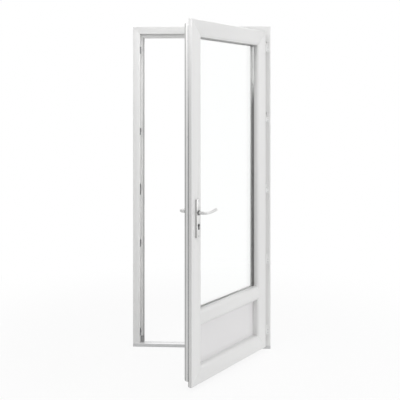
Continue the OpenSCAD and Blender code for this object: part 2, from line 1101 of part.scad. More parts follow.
// A sheet that fills the rebate of the glass or of the panel, but for the edge gap
module sheet(z_low, z_high, front, t) {
    half = opening_x - edge_gap;
    block(
        [-half, sash_y + front, z_low + edge_gap],
        [2 * half, t, z_high - z_low - 2 * edge_gap]
    );
}

module inner_pane() {
    color("#cfe3df", 0.35)
        opened()
            sheet(glass_low, glass_high, glass_front, pane_t);
}

module outer_pane() {
    color("#cfe3df", 0.35)
        opened()
            sheet(glass_low, glass_high, glass_back - pane_t, pane_t);
}

module glazing_spacer() {
    color(grey)
        opened()
            ring(
                opening_x, glass_low, glass_high, spacer_inset, spacer_inset + spacer_w,
                sash_y + glass_front + pane_t, glass_t - 2 * pane_t
            );
}

module glazing_seals() {
    inner = bead_w + seal_show;
    outer = bead_w + outer_seal_show;
    color(black)
        opened() {
            ring(
                opening_x, glass_low, glass_high, seal_cover, inner,
                sash_y + bead_depth, glazing_seal_t
            );
            ring(
                opening_x, panel_low, panel_high, seal_cover, inner,
                sash_y + panel_bead_depth, glazing_seal_t
            );
            for (z = [[glass_low, glass_high], [panel_low, panel_high]])
                ring(
                    opening_x, z[0], z[1], seal_cover, outer,
                    sash_y + glass_back, glazing_seal_t
                );
        }
}

// Blocks that the glass and the panel stand on
module setting_blocks() {
    x = block_share * opening_x;
    color(black)
        opened()
            for (s = [-1, 1]) {
                block(
                    [s * x - block_length / 2, sash_y + glass_front, glass_low],
                    [block_length, glass_t, edge_gap]
                );
                block(
                    [s * x - block_length / 2, sash_y + panel_front, panel_low],
                    [block_length, panel_t, edge_gap]
                );
            }
}

module lower_panel() {
    color(white)
        opened()
            sheet(panel_low, panel_high, panel_front, panel_t);
}

// Lock

// Long strip in the groove of the lock stile, with openings for bolts and rollers
module lock_faceplate() {
    low = overlay_bottom + body_step + faceplate_end;
    high = overlay_top - body_step - faceplate_end;
    color(steel)
        opened()
            difference() {
                block(
                    [edge_x, groove_y - faceplate_w / 2, low],
                    [faceplate_t, faceplate_w, high - low]
                );
                bolt_hole(latch_z, latch_h, latch_w);
                bolt_hole(bolt_z, bolt_h, bolt_w);
                for (c = strike_zs)
                    translate([edge_x - overrun, groove_y, c])
                        rotate([0, 90, 0])
                            linear_extrude(faceplate_t + 2 * overrun)
                                rotate([0, 0, 90])
                                    stadium(
                                        2 * (roller_r + slack),
                                        rod_travel + 2 * (roller_r + slack)
                                    );
            }
}

module bolt_hole(z, h, w) {
    block(
        [edge_x - overrun, groove_y - w / 2 - slack, z - h / 2 - slack],
        [faceplate_t + 2 * overrun, w + 2 * slack, h + 2 * slack]
    );
}

// Flat box behind the strip, hollowed for the bolts, the follower and the cam
module lock_case() {
    front = edge_x + faceplate_t;
    latch_room = latch_length + slack - faceplate_t;
    color(steel)
        opened()
            difference() {
                block(
                    [front, groove_y - case_t / 2, case_bottom],
                    [case_depth, case_t, case_top - case_bottom]
                );
                block(
                    [front - overrun, groove_y - latch_w / 2 - slack, latch_z - latch_h / 2 - slack],
                    [latch_room + overrun, latch_w + 2 * slack, latch_h + 2 * slack]
                );
                block(
                    [front - overrun, groove_y - bolt_w / 2 - slack, bolt_z - bolt_h / 2 - slack],
                    [bolt_length + overrun, bolt_w + 2 * slack, bolt_h + 2 * slack]
                );
                round_y(
                    handle_x, groove_y - case_t, spindle_z, follower_r + running_fit, 2 * case_t
                );
                euro_bar(slack, groove_y - case_t, 2 * case_t);
                round_y(
                    handle_x, groove_y - cam_t / 2 - slack, cylinder_z,
                    cam_r + slack, cam_t + 2 * slack
                );
                plate_screw_places()
                    round_y(0, groove_y - case_t, 0, plate_screw_r + slack, 2 * case_t);
            }
}

module cylinder_body() {
    y = sash_y - plate_t - euro_proud;
    length = sash_depth + 2 * (plate_t + euro_proud);
    bridge = cam_r + 2 * slack;
    color(steel)
        opened()
            difference() {
                euro_bar(0, y, length);
                round_y(handle_x, y - overrun, cylinder_z, plug_r + running_fit, length + 2 * overrun);
                block(
                    [handle_x - euro_r - overrun, groove_y - cam_t / 2 - slack, cylinder_z - bridge],
                    [2 * (euro_r + overrun), cam_t + 2 * slack, bridge + euro_r + overrun]
                );
            }
}

// Turning core with a key slot at each end and a cam in the middle
module cylinder_plug() {
    y = sash_y - plate_t - euro_proud;
    length = sash_depth + 2 * (plate_t + euro_proud);
    color("#c2b280")
        opened()
            difference() {
                union() {
                    round_y(handle_x, y, cylinder_z, plug_r, length);
                    intersection() {
                        round_y(handle_x, groove_y - cam_t / 2, cylinder_z, cam_r, cam_t);
                        block(
                            [handle_x - cam_w / 2, groove_y - cam_t, cylinder_z - cam_r],
                            [cam_w, 2 * cam_t, cam_r]
                        );
                    }
                }
                for (end = [y - overrun, y + length - key_slot_d])
                    block(
                        [handle_x - key_slot_w / 2, end, cylinder_z - key_slot_h / 2],
                        [key_slot_w, key_slot_d + overrun, key_slot_h]
                    );
            }
}

module latch_bolt() {
    low = edge_x - latch_out;
    half = latch_w / 2;
    color(steel)
        opened()
            translate([0, groove_y, latch_z - latch_h / 2])
                linear_extrude(latch_h)
                    polygon([
                        [low, -half],
                        [low, latch_nose - half],
                        [low + latch_slope, half],
                        [low + latch_length, half],
                        [low + latch_length, -half]
                    ]);
}

module dead_bolt() {
    color(steel)
        opened()
            block(
                [edge_x + slack, groove_y - bolt_w / 2, bolt_z - bolt_h / 2],
                [bolt_length, bolt_w, bolt_h]
            );
}

// Two flat rods behind the strip, above and below the lock, each with two rollers
module locking_rods() {
    rod_x = edge_x + faceplate_t + slack;
    upper_low = case_top + rod_end;
    lower_high = case_bottom - rod_travel - rod_end;
    color(steel)
        opened() {
            rod(rod_x, roller_z(strike_zs[0]) - rod_end, lower_high);
            rod(rod_x, upper_low, roller_z(strike_zs[3]) + rod_end);
            for (c = strike_zs)
                round_x(
                    edge_x - roller_out, groove_y, roller_z(c),
                    roller_r, roller_out + faceplate_t + slack + rod_t / 2
                );
        }
}

module rod(x, low, high) {
    block([x, groove_y - rod_w / 2, low], [rod_t, rod_w, high - low]);
}

// Handle

// Mirrors what is modelled on the room side to the outside of the sash
module outside() {
    translate([0, 2 * sash_y + sash_depth, 0])
        mirror([0, 1, 0])
            children();
}

// Outline of a backplate with round corners, in x and z
module plate_outline() {
    w = plate_w / 2;
    h = plate_h / 2;
    r = plate_corner_r;
    square([2 * w, 2 * (h - r)], center = true);
    square([2 * (w - r), 2 * h], center = true);
    for (sx = [-1, 1], sz = [-1, 1])
        translate([sx * (w - r), sz * (h - r)])
            circle(r);
}

// Room-side backplate with a crowned face and cut-outs for the neck's ring and the cylinder
module backplate() {
    top = sash_y - plate_t;
    difference() {
        intersection() {
            translate([handle_x, top, plate_z])
                rotate([-90, 0, 0])
                    linear_extrude(plate_t)
                        plate_outline();
            translate([handle_x, top + crown_r, plate_z - plate_h])
                cylinder(r = crown_r, h = 2 * plate_h, $fn = 256);
        }
        round_y(
            handle_x, top - overrun, spindle_z, ring_r + screw_fit, plate_t + 2 * overrun
        );
        euro_bar(slack, top - overrun, plate_t + 2 * overrun);
    }
}

module inside_backplate() {
    color(grey)
        opened()
            difference() {
                backplate();
                plate_screw_places() {
                    round_y(
                        0, sash_y - plate_t - overrun, 0,
                        plate_screw_r + screw_fit, plate_t + 2 * overrun
                    );
                    round_y(
                        0, sash_y - plate_t - overrun, 0,
                        plate_screw_head_r + screw_fit, plate_screw_head_h + overrun
                    );
                }
            }
}

module outside_backplate() {
    color(grey)
        opened()
            difference() {
                outside()
                    backplate();
                plate_screw_places()
                    round_y(
                        0, sash_y + sash_depth - overrun, 0,
                        plate_screw_r + screw_fit, plate_screw_bite + overrun + slack
                    );
            }
}

// Room-side ring of dark plastic that the lever's neck turns in
module neck_ring() {
    length = plate_t + ring_proud;
    difference() {
        round_y(handle_x, sash_y - length, spindle_z, ring_r, length);
        round_y(
            handle_x, sash_y - length - overrun, spindle_z,
            neck_r + running_fit, length + 2 * overrun
        );
    }
}

module neck_rings() {
    color(black)
        opened() {
            neck_ring();
            outside()
                neck_ring();
        }
}

module handle_screws() {
    color(steel)
        opened()
            plate_screw_places() {
                round_y(
                    0, sash_y - plate_t + plate_screw_head_h / 2, 0, plate_screw_r,
                    plate_t - plate_screw_head_h / 2 + sash_depth + plate_screw_bite
                );
                round_y(0, sash_y - plate_t, 0, plate_screw_head_r, plate_screw_head_h);
            }
}

// Neck, bend and a grip that rises to a round tip, with a square socket for the spindle
module lever() {
    elbow_y = sash_y - lever_offset + bend_r;
    grip_y = sash_y - lever_offset;
    difference() {
        union() {
            round_y(handle_x, elbow_y, spindle_z, neck_r, sash_y - neck_seat - elbow_y);
            translate([handle_x + bend_r, elbow_y, spindle_z])
                rotate([0, 0, 180])
                    rotate_extrude(angle = 90)
                        translate([bend_r, 0])
                            stadium(grip_t, grip_h);
            translate([handle_x + bend_r, grip_y, spindle_z])
                rotate([90, 0, 90])
                    linear_extrude(lever_run - bend_r)
                        stadium(grip_t, grip_h);
            translate([handle_x + lever_run, grip_y, spindle_z + grip_curve_r])
                rotate([90, 0, 0])
                    rotate([0, 0, -90]) {
                        rotate_extrude(angle = grip_curve_angle)
                            translate([grip_curve_r, 0])
                                rotate([0, 0, 90])
                                    stadium(grip_t, grip_h);
                        rotate([0, 0, grip_curve_angle])
                            translate([grip_curve_r, 0, 0])
                                rotate([0, 90, 0])
                                    domed_pin(grip_t - 2 * tip_step, grip_h - 2 * tip_step);
                    }
        }
        block(
            [
                handle_x - spindle_w / 2 - running_fit,
                sash_y - neck_seat - socket_depth,
                spindle_z - spindle_w / 2 - running_fit
            ],
            [spindle_w + 2 * running_fit, socket_depth + overrun, spindle_w + 2 * running_fit]
        );
    }
}

module inside_lever() {
    color(grey)
        opened()
            lever();
}

module outside_lever() {
    color(grey)
        opened()
            outside()
                lever();
}

// Square bar through both levers and the follower
module spindle() {
    reach = neck_seat + socket_depth - slack;
    color(steel)
        opened()
            block(
                [handle_x - spindle_w / 2, sash_y - reach, spindle_z - spindle_w / 2],
                [spindle_w, sash_depth + 2 * reach, spindle_w]
            );
}

// Round hub in the lock case that the spindle turns
module follower() {
    hole = spindle_w + 2 * running_fit;
    color(steel)
        opened()
            difference() {
                round_y(handle_x, groove_y - follower_t / 2, spindle_z, follower_r, follower_t);
                block(
                    [handle_x - hole / 2, groove_y - follower_t, spindle_z - hole / 2],
                    [hole, 2 * follower_t, hole]
                );
            }
}

frame_head();
frame_lock_jamb();
frame_hinge_jamb();
frame_steels();
frame_seal();
threshold();
threshold_end_pads();
fixing_caps();
strikes();
lock_keep();
strike_screws();
for (i = [1 : hinge_count])
    hinge_frame_leaf(i);
hinge_pins();
hinge_screws();
sash_top_rail();
sash_bottom_rail();
sash_lock_stile();
sash_hinge_stile();
sash_mid_rail();
sash_steels();
sash_seal();
bottom_seal();
inner_pane();
outer_pane();
glazing_spacer();
glazing_seals();
setting_blocks();
lower_panel();
glass_bead("top");  // glass_bead_top
glass_bead("bottom");  // glass_bead_bottom
glass_bead("left");  // glass_bead_lock_side
glass_bead("right");  // glass_bead_hinge_side
panel_bead("top");  // panel_bead_top
panel_bead("bottom");  // panel_bead_bottom
panel_bead("left");  // panel_bead_lock_side
panel_bead("right");  // panel_bead_hinge_side
for (i = [1 : hinge_count])
    hinge_sash_leaf(i);
lock_faceplate();
lock_case();
cylinder_body();
inside_backplate();
outside_backplate();
neck_rings();
handle_screws();
inside_lever();
outside_lever();
spindle();
follower();
latch_bolt();
dead_bolt();
locking_rods();
cylinder_plug();
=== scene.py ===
import json
import math

import bpy
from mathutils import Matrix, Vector


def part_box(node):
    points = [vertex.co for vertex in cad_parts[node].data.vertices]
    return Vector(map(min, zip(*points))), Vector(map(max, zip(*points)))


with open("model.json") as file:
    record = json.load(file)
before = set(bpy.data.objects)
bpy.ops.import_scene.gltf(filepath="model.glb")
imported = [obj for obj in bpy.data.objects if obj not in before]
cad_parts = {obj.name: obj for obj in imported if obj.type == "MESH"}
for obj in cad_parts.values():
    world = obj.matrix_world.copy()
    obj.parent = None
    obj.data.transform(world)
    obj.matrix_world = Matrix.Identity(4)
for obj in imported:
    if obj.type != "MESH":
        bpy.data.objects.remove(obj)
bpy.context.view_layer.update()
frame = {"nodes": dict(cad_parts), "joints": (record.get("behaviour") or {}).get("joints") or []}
nodes = frame["nodes"]
scene = bpy.context.scene
scene.view_settings.view_transform = "Standard"


# The viewpoint: a level camera at head height in the room, a little right of the middle,
# with a raised back so that the uprights stay upright.
EYE = (0.184, -4.619, 1.562)
LOOK_LEFT = math.radians(2.71)
SENSOR = 36.0
LENS = 63.18
BACK_SHIFT = (0.0091, -0.2276)

camera = bpy.data.objects.new("Viewpoint", bpy.data.cameras.new("Viewpoint"))
camera.data.sensor_width = SENSOR
camera.data.lens = LENS
camera.data.shift_x, camera.data.shift_y = BACK_SHIFT
camera.location = EYE
camera.rotation_euler = (math.pi / 2, 0, LOOK_LEFT)
scene.collection.objects.link(camera)
scene.camera = camera


# The studio: an endless white sheet for floor and backdrop, and square soft lamps.
# The sheet is white to the eye, to gloss and through glass, and only a weak light for the rest.
# Near the door the floor gives up a small share of that white to the door's shadow.
SHEET_WHITE = (1.0, 1.0, 1.0, 1.0)
PAPER_WHITE = (0.95, 0.95, 0.95, 1.0)
ROOM_LIGHT = 0.49
FLOOR_HALF = 30.0
FLOOR_DROP = 0.0005
SHADOW_SHARE = 0.12
SHADOW_FULL_TO = 0.8
SHADOW_GONE_AT = 2.6
LAMPS = (
    # name, stands at, looks at, size in metres, power in watts
    ("Right lamp", (5.6, -1.1, 1.0), (0.2, -0.3, 0.6), 3.0, 98.0),
    ("High lamp", (0.0, -1.4, 4.2), (0.0, -0.4, 1.0), 2.0, 28.0),
    ("Corner lamp", (-0.5, -1.3, 3.2), (-0.1, -0.4, 2.0), 0.8, 4.2),
    ("Edge lamp", (-0.35, -1.1, 2.32), (-0.02, -0.76, 1.9), 0.3, 1.5),
    ("Front lamp", (0.6, -4.6, 2.5), (0.0, 0.0, 1.4), 1.6, 7.0),
    ("Low lamp", (0.9, -4.7, 1.0), (0.0, 0.0, 0.3), 1.2, 7.0),
    ("Floor lamp", (-1.0, -1.5, 0.12), (-0.35, -0.1, 0.15), 0.6, 1.2),
    ("Back lamp", (1.8, 3.2, 3.2), (0.0, 0.0, 1.2), 2.4, 30.0),
)


class Signal:
    """One socket of a node tree. Sums and products of signals add Math nodes to it."""

    def __init__(self, tree, socket=None):
        self.tree = tree
        self.socket = socket

    def node(self, kind, settings=None, sockets=None, out=0):
        """Adds any node: its settings come first, then its sockets' values and links."""
        made = self.tree.nodes.new(kind)
        for key, value in (settings or {}).items():
            setattr(made, key, value)
        for key, value in (sockets or {}).items():
            if isinstance(value, Signal):
                self.tree.links.new(value.socket, made.inputs[key])
            else:
                made.inputs[key].default_value = value
        return Signal(self.tree, made.outputs[out] if made.outputs else None)

    def math(self, operation, first, second=0.0):
        return self.node("ShaderNodeMath", {"operation": operation}, {0: first, 1: second})

    def __add__(self, other):
        return self.math("ADD", self, other)

    def __radd__(self, other):
        return self.math("ADD", other, self)

    def __sub__(self, other):
        return self.math("SUBTRACT", self, other)

    def __rsub__(self, other):
        return self.math("SUBTRACT", other, self)

    def __mul__(self, other):
        return self.math("MULTIPLY", self, other)

    def __rmul__(self, other):
        return self.math("MULTIPLY", other, self)

    def __abs__(self):
        return self.math("ABSOLUTE", self)

    def least(self, other):
        return self.math("MINIMUM", self, other)

    def most(self, other):
        return self.math("MAXIMUM", self, other)

    def between(self, low, high, low_to=0.0, high_to=1.0):
        """A soft step that goes from low_to at low to high_to at high."""
        return self.node(
            "ShaderNodeMapRange", {"interpolation_type": "SMOOTHSTEP"},
            {0: self, 1: low, 2: high, 3: low_to, 4: high_to},
        )

    def under(self, limit, blend):
        """1 up to the limit, and 0 from blend above it."""
        return self.between(limit, limit + blend, 1.0, 0.0)


def new_nodes(owner):
    """Empties the node tree of a material or world, and hands it over."""
    owner.use_nodes = True
    owner.node_tree.nodes.clear()
    return Signal(owner.node_tree)


def seen_directly(tree):
    """1 for the eye, for gloss and for what comes through glass, 0 for the light on surfaces."""
    rays = [
        tree.node("ShaderNodeLightPath", out=name)
        for name in ("Is Camera Ray", "Is Glossy Ray", "Is Transmission Ray")
    ]
    return rays[0].most(rays[1]).most(rays[2])


world = bpy.data.worlds.new("White studio")
scene.world = world
sky = new_nodes(world)
strength = seen_directly(sky).between(0.0, 1.0, ROOM_LIGHT, 1.0)
sky.node("ShaderNodeOutputWorld", None, {
    "Surface": sky.node("ShaderNodeBackground", None, {"Color": SHEET_WHITE, "Strength": strength}),
})

floor_mesh = bpy.data.meshes.new("Floor")
floor_mesh.from_pydata([
    (-FLOOR_HALF, -FLOOR_HALF, 0), (FLOOR_HALF, -FLOOR_HALF, 0),
    (FLOOR_HALF, FLOOR_HALF, 0), (-FLOOR_HALF, FLOOR_HALF, 0),
], [], [(0, 1, 2, 3)])
floor = bpy.data.objects.new("Floor", floor_mesh)
floor.location.z = -FLOOR_DROP
scene.collection.objects.link(floor)
paper = bpy.data.materials.new("White paper")
sheet = new_nodes(paper)
lit = sheet.node("ShaderNodeBsdfDiffuse", None, {"Color": PAPER_WHITE})
glow = sheet.node("ShaderNodeEmission", None, {"Color": SHEET_WHITE, "Strength": 1.0})
spot = sheet.node("ShaderNodeTexCoord", out="Object")
away = sheet.node("ShaderNodeVectorMath", {"operation": "LENGTH"}, {0: spot}, out="Value")
shaded = SHADOW_SHARE * away.between(SHADOW_FULL_TO, SHADOW_GONE_AT, 1.0, 0.0)
sheet.node("ShaderNodeOutputMaterial", None, {
    "Surface": sheet.node(
        "ShaderNodeMixShader", None, {0: seen_directly(sheet) * (1.0 - shaded), 1: lit, 2: glow}
    ),
})
floor_mesh.materials.append(paper)

for name, stand, aim, width, power in LAMPS:
    light = bpy.data.lights.new(name, "AREA")
    light.size = width
    light.energy = power
    lamp = bpy.data.objects.new(name, light)
    lamp.location = stand
    lamp.rotation_euler = (Vector(aim) - Vector(stand)).to_track_quat("-Z", "Y").to_euler()
    scene.collection.objects.link(lamp)


# The frame: head and jambs of white hollow plastic, sawn at 45 degrees and welded at the top corners.
# The weld is scraped to a fine groove, and the die leaves faint lines along each bar.
# A grey band of painted shade runs along the edge of each jamb's stop, and white plugs close the fixing
# holes.
WHITE_PLASTIC = (0.803, 0.802, 0.797, 1.0)
# Darker white for weld grooves and random tone, and painted shade on the sash's outermost faces.
WHITE_MARK_AND_SHADE = (0.691, 0.690, 0.685, 1.0)
# Painted shade, on the jambs' stops and round the sash's outer edge.
SHADE_GREY = (0.46, 0.46, 0.455, 1.0)
PAINTED_BLEND = 0.0005
STOP_SHADE_WIDTH = 0.011
STOP_SHADE_DEPTH = 0.004
PLASTIC_ROUGHNESS = 0.26
PLASTIC_IOR = 1.5
DIE_LINE_DEPTH = 0.000015
DIE_LINE_STRETCH = 0.004
WELD_HALF_WIDTH = 0.0009
WELD_DEPTH = 0.00005
FRAME_EDGE = 0.0007
PLUG_EDGE = 0.0004
SAME_POINT = 1e-5
FLAT_ANGLE = math.radians(0.5)
SHARP_ANGLE = math.radians(35.0)


def new_material(name):
    material = bpy.data.materials.new(name)
    return material, new_nodes(material)


def surface(tree, sockets):
    """The material's one shader."""
    shader = tree.node("ShaderNodeBsdfPrincipled", None, sockets)
    tree.node("ShaderNodeOutputMaterial", None, {"Surface": shader})


def tinted(tree, mask, plain, marked):
    """A colour that goes from plain to marked with the mask."""
    return tree.node("ShaderNodeMix", {"data_type": "RGBA"}, {0: mask, 6: plain, 7: marked}, out=2)


def shut_place(tree, swing=0.0):
    """Place on the shut door: the object's own place, turned back round the hinge pins."""
    here = tree.node("ShaderNodeTexCoord", out="Object")
    if swing:
        pin = next(joint for joint in frame["joints"] if joint["name"] == "sash_swing")["pos_m"]
        here = tree.node(
            "ShaderNodeVectorRotate", {"rotation_type": "Z_AXIS"},
            {"Vector": here, "Center": (pin[0], pin[1], 0.0), "Angle": -swing},
        )
    return here


def split(tree, vector):
    return [tree.node("ShaderNodeSeparateXYZ", None, {0: vector}, out=axis) for axis in range(3)]


def noise(tree, vector, scale, detail=2.0, stretch=None):
    """Noise from 0 to 1. A stretch under 1 draws it out along that axis."""
    if stretch:
        vector = tree.node("ShaderNodeVectorMath", {"operation": "MULTIPLY"}, {0: vector, 1: stretch})
    return tree.node("ShaderNodeTexNoise", None, {"Vector": vector, "Scale": scale, "Detail": detail})


def bumped(tree, height, depth):
    return tree.node("ShaderNodeBump", None, {"Strength": 1.0, "Distance": depth, "Height": height})


def white_bar(name, along, swing=0.0, weld=None, painted_shades=()):
    """Extruded white plastic. weld gives the half width, foot and top of the mitred corners.

    painted_shades pair a colour of painted shade with a function for its share on the shut door."""
    material, tree = new_material(name)
    here = shut_place(tree, swing)
    x, y, z = split(tree, here)
    drawn = (1.0, 1.0, DIE_LINE_STRETCH) if along == "Z" else (DIE_LINE_STRETCH, 1.0, 1.0)
    lines = noise(tree, here, scale=900.0, detail=3.0, stretch=drawn)
    clouds = noise(tree, here, scale=3.0, detail=3.0)
    peel = noise(tree, here, scale=260.0, detail=2.0)
    mark = (clouds - 0.5) * 0.08 + 0.04
    rough = PLASTIC_ROUGHNESS + clouds * 0.1 + lines * 0.05
    normal = bumped(tree, lines * 0.6 + peel * 0.4, DIE_LINE_DEPTH)
    if weld:
        half_w, foot, top = weld
        from_side = half_w - abs(x)
        from_end = top - z
        if foot is not None:
            from_end = from_end.least(z - foot)
        groove = abs(from_side - from_end).under(0.0, WELD_HALF_WIDTH * math.sqrt(2))
        mark = mark + groove * 0.12
        rough = rough + groove * 0.2
        normal = tree.node("ShaderNodeBump", None, {
            "Strength": 1.0, "Distance": WELD_DEPTH, "Height": 1.0 - groove, "Normal": normal,
        })
    tone = tinted(tree, mark, WHITE_PLASTIC, WHITE_MARK_AND_SHADE)
    for colour, share in painted_shades:
        tone = tinted(tree, share(x, y, z), tone, colour)
    surface(tree, {"Base Color": tone, "Roughness": rough, "IOR": PLASTIC_IOR, "Normal": normal})
    return material


def dress(names, material, edge=0.0, steps=2):
    """Gives CAD nodes their material, and rounds their sharp edges where edge is set."""
    for name in [names] if isinstance(names, str) else names:
        piece = nodes[name]
        piece.data.materials.clear()
        piece.data.materials.append(material)
        if edge:
            join = piece.modifiers.new("Join faces", "WELD")
            join.merge_threshold = SAME_POINT
            whole = piece.modifiers.new("Whole faces", "DECIMATE")
            whole.decimate_type = "DISSOLVE"
            whole.angle_limit = FLAT_ANGLE
            bevel = piece.modifiers.new("Soft edges", "BEVEL")
            bevel.width = edge
            bevel.segments = steps
            bevel.limit_method = "ANGLE"
            bevel.angle_limit = SHARP_ANGLE
            bevel.harden_normals = True
            piece.data.polygons.foreach_set("use_smooth", [True] * len(piece.data.polygons))


frame_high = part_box("frame_head")[1]
frame_corner = (frame_high.x, None, frame_high.z)
stop_edge = -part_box("frame_lock_jamb")[1].x
stop_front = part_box("threshold_end_pads")[1].y


def stop_shade(x, y, z):
    """Painted shade: the grey band along the edge of the stop."""
    nose = abs(x).under(stop_edge + STOP_SHADE_WIDTH, PAINTED_BLEND)
    return nose * y.under(stop_front + STOP_SHADE_DEPTH, PAINTED_BLEND)


frame_white = white_bar("White plastic upright", "Z", weld=frame_corner, painted_shades=[(SHADE_GREY, stop_shade)])
head_white = white_bar("White plastic head", "X", weld=frame_corner)
dress(["frame_lock_jamb", "frame_hinge_jamb"], frame_white, FRAME_EDGE)
dress("frame_head", head_white, FRAME_EDGE)
dress("fixing_caps", frame_white, PLUG_EDGE)


# Zinc-plated steel: tubes inside the bars, hinge pins, strikes, and the screws of hinges and strikes.
# A thin bluish plating over rolled steel, with fine rolling lines and small dull blotches.
# The strikes and the keep, screwed to the lock jamb, are plated darker.
ZINC = (0.56, 0.57, 0.58, 1.0)
ZINC_DULL = (0.40, 0.41, 0.42, 1.0)
STRIKE_ZINC = (0.20, 0.20, 0.21, 1.0)
STRIKE_DULL = (0.13, 0.13, 0.13, 1.0)
STRIKE_EDGE = 0.0005
ZINC_ROUGHNESS = 0.34
ROLLING_LINE_DEPTH = 0.00003


def plated(name, colour, dull, swing=0.0, roughness=ZINC_ROUGHNESS):
    material, tree = new_material(name)
    here = shut_place(tree, swing)
    lines = noise(tree, here, scale=1400.0, detail=2.0, stretch=(1.0, 1.0, 0.02))
    blotches = noise(tree, here, scale=70.0, detail=4.0).between(0.42, 0.72)
    surface(tree, {
        "Base Color": tinted(tree, blotches * 0.6, colour, dull),
        "Metallic": 1.0,
        "Roughness": roughness + blotches * 0.12 + lines * 0.06,
        "Normal": bumped(tree, lines, ROLLING_LINE_DEPTH),
    })
    return material


zinc = plated("Zinc plate", ZINC, ZINC_DULL)
dress(["frame_steels", "strike_screws", "hinge_screws", "hinge_pins"], zinc)
dress(["strikes", "lock_keep"], plated("Dark zinc strike", STRIKE_ZINC, STRIKE_DULL), STRIKE_EDGE)


# The frame's seal: a soft pale grey strip pushed into the slot of the stop, with a faint bloom.
# Where the stop meets the threshold, a firm dark grey pad closes each corner.
SEAL_GREY = (0.80, 0.80, 0.795, 1.0)
SEAL_GREY_BLOOM = (0.72, 0.72, 0.72, 1.0)
PAD_GREY = (0.33, 0.33, 0.33, 1.0)
PAD_BLOOM = (0.38, 0.38, 0.38, 1.0)
PAD_EDGE = 0.0006
RUBBER_ROUGHNESS = 0.55
RUBBER_GRAIN_DEPTH = 0.00005


def rubber(name, colour, bloom, swing=0.0, painted_light=None, shine=0.0):
    """A soft strip. painted_light pairs a paler colour, painted where light falls,
    with a function that gives its share at a place.

    shine makes that second colour metallic and smooth."""
    material, tree = new_material(name)
    here = shut_place(tree, swing)
    dust = noise(tree, here, scale=40.0, detail=5.0).between(0.45, 0.75)
    grain = noise(tree, here, scale=1800.0, detail=2.0)
    tone = tinted(tree, dust, colour, bloom)
    bright = 0.0
    # Painted light: a paler colour where light falls.
    if painted_light:
        lit_colour, lit_share = painted_light
        share = lit_share(*split(tree, here))
        tone = tinted(tree, share, tone, lit_colour)
        bright = share * shine
    surface(tree, {
        "Base Color": tone,
        "Metallic": bright,
        "Roughness": RUBBER_ROUGHNESS + dust * 0.2 + grain * 0.1 - bright * RUBBER_ROUGHNESS,
        "Normal": bumped(tree, grain, RUBBER_GRAIN_DEPTH),
    })
    return material


dress("frame_seal", rubber("Grey seal", SEAL_GREY, SEAL_GREY_BLOOM))
dress("threshold_end_pads", rubber("Grey pad", PAD_GREY, PAD_BLOOM), PAD_EDGE)


# The threshold: a low grey extrusion of anodised aluminium that the jambs stand on.
# Anodising leaves a fine satin grain along its length, and its upper faces carry a painted highlight.
ALUMINIUM = (0.60, 0.602, 0.605, 1.0)
ALUMINIUM_WORN = (0.66, 0.662, 0.665, 1.0)
TREAD_HIGHLIGHT = (0.96, 0.96, 0.962, 1.0)
ALUMINIUM_ROUGHNESS = 0.42
SATIN_GRAIN_DEPTH = 0.00004
THRESHOLD_EDGE = 0.0004

threshold_metal, tree = new_material("Anodised threshold")
here = shut_place(tree)
grain = noise(tree, here, scale=2200.0, detail=2.0, stretch=(0.006, 1.0, 1.0))
scuffs = noise(tree, here, scale=24.0, detail=6.0, stretch=(0.4, 1.0, 1.0)).between(0.50, 0.74)
# Painted highlight: faces that look up are painted bright.
lit_from_above = split(tree, tree.node("ShaderNodeNewGeometry", out="Normal"))[2].between(0.4, 0.9)
metal = tinted(tree, scuffs * 0.7, ALUMINIUM, ALUMINIUM_WORN)
surface(tree, {
    "Base Color": tinted(tree, lit_from_above, metal, TREAD_HIGHLIGHT),
    "Metallic": 0.3 + lit_from_above * 0.5,
    "Roughness": ALUMINIUM_ROUGHNESS + grain * 0.1 - scuffs * 0.06,
    "Normal": bumped(tree, grain, SATIN_GRAIN_DEPTH),
})
dress("threshold", threshold_metal, THRESHOLD_EDGE)


# The hinges: white powder-coated knuckles, the lower one on a foot on the jamb,
# the upper one on a cheek at the edge of the sash, turning on a steel pin.
HINGE_WHITE = (0.80, 0.80, 0.795, 1.0)
HINGE_WORN = (0.736, 0.736, 0.7314, 1.0)
HINGES = 5
HINGE_EDGE = 0.0006
COAT_ROUGHNESS = 0.33
COAT_PEEL_DEPTH = 0.00006

hinge_coat, tree = new_material("White hinge coat")
here = shut_place(tree)
peel = noise(tree, here, scale=900.0, detail=3.0)
wear = noise(tree, here, scale=60.0, detail=3.0).between(0.55, 0.8)
surface(tree, {
    "Base Color": tinted(tree, wear, HINGE_WHITE, HINGE_WORN),
    "Roughness": COAT_ROUGHNESS + peel * 0.12,
    "Normal": bumped(tree, peel, COAT_PEEL_DEPTH),
})
for i in range(1, HINGES + 1):
    dress([f"hinge_frame_leaf_{i}", f"hinge_sash_leaf_{i}"], hinge_coat, HINGE_EDGE, steps=3)


# The sash: stiles and rails of the same white plastic, welded at four corners, with a cross rail between.
# Grey painted shade runs round its outer edge, and its outermost faces are painted a shade darker.
# It swings on the hinges into the room, and is shown part open.
# A black seal sits behind its flange and another sweeps the threshold.
# The seal's lock-side run is painted pale near the top, as a painted highlight.
SWING = math.radians(57.5)
SASH_HALF_WIDTH = 0.412
SASH_EDGE = 0.0008
# Painted shade on the sash's outermost faces and round its outer edge.
EDGE_SHADE_FROM = 0.0004
EDGE_SHADE_TO = 0.0012
OUTER_SHADE_WIDTH = 0.0242
OUTER_SHADE_FRONT = -0.0008
SEAL_BLACK = (0.020, 0.020, 0.021, 1.0)
SEAL_BLOOM = (0.060, 0.060, 0.062, 1.0)
# Painted highlight on the top of the seal's lock-side run.
SEAL_HIGHLIGHT = (0.85, 0.85, 0.845, 1.0)
SEAL_HIGHLIGHT_HEIGHTS = (1.36, 1.84)
LOCK_SIDE = -0.405
LOCK_SIDE_BLEND = 0.005
SWEEP_EDGE = 0.0006

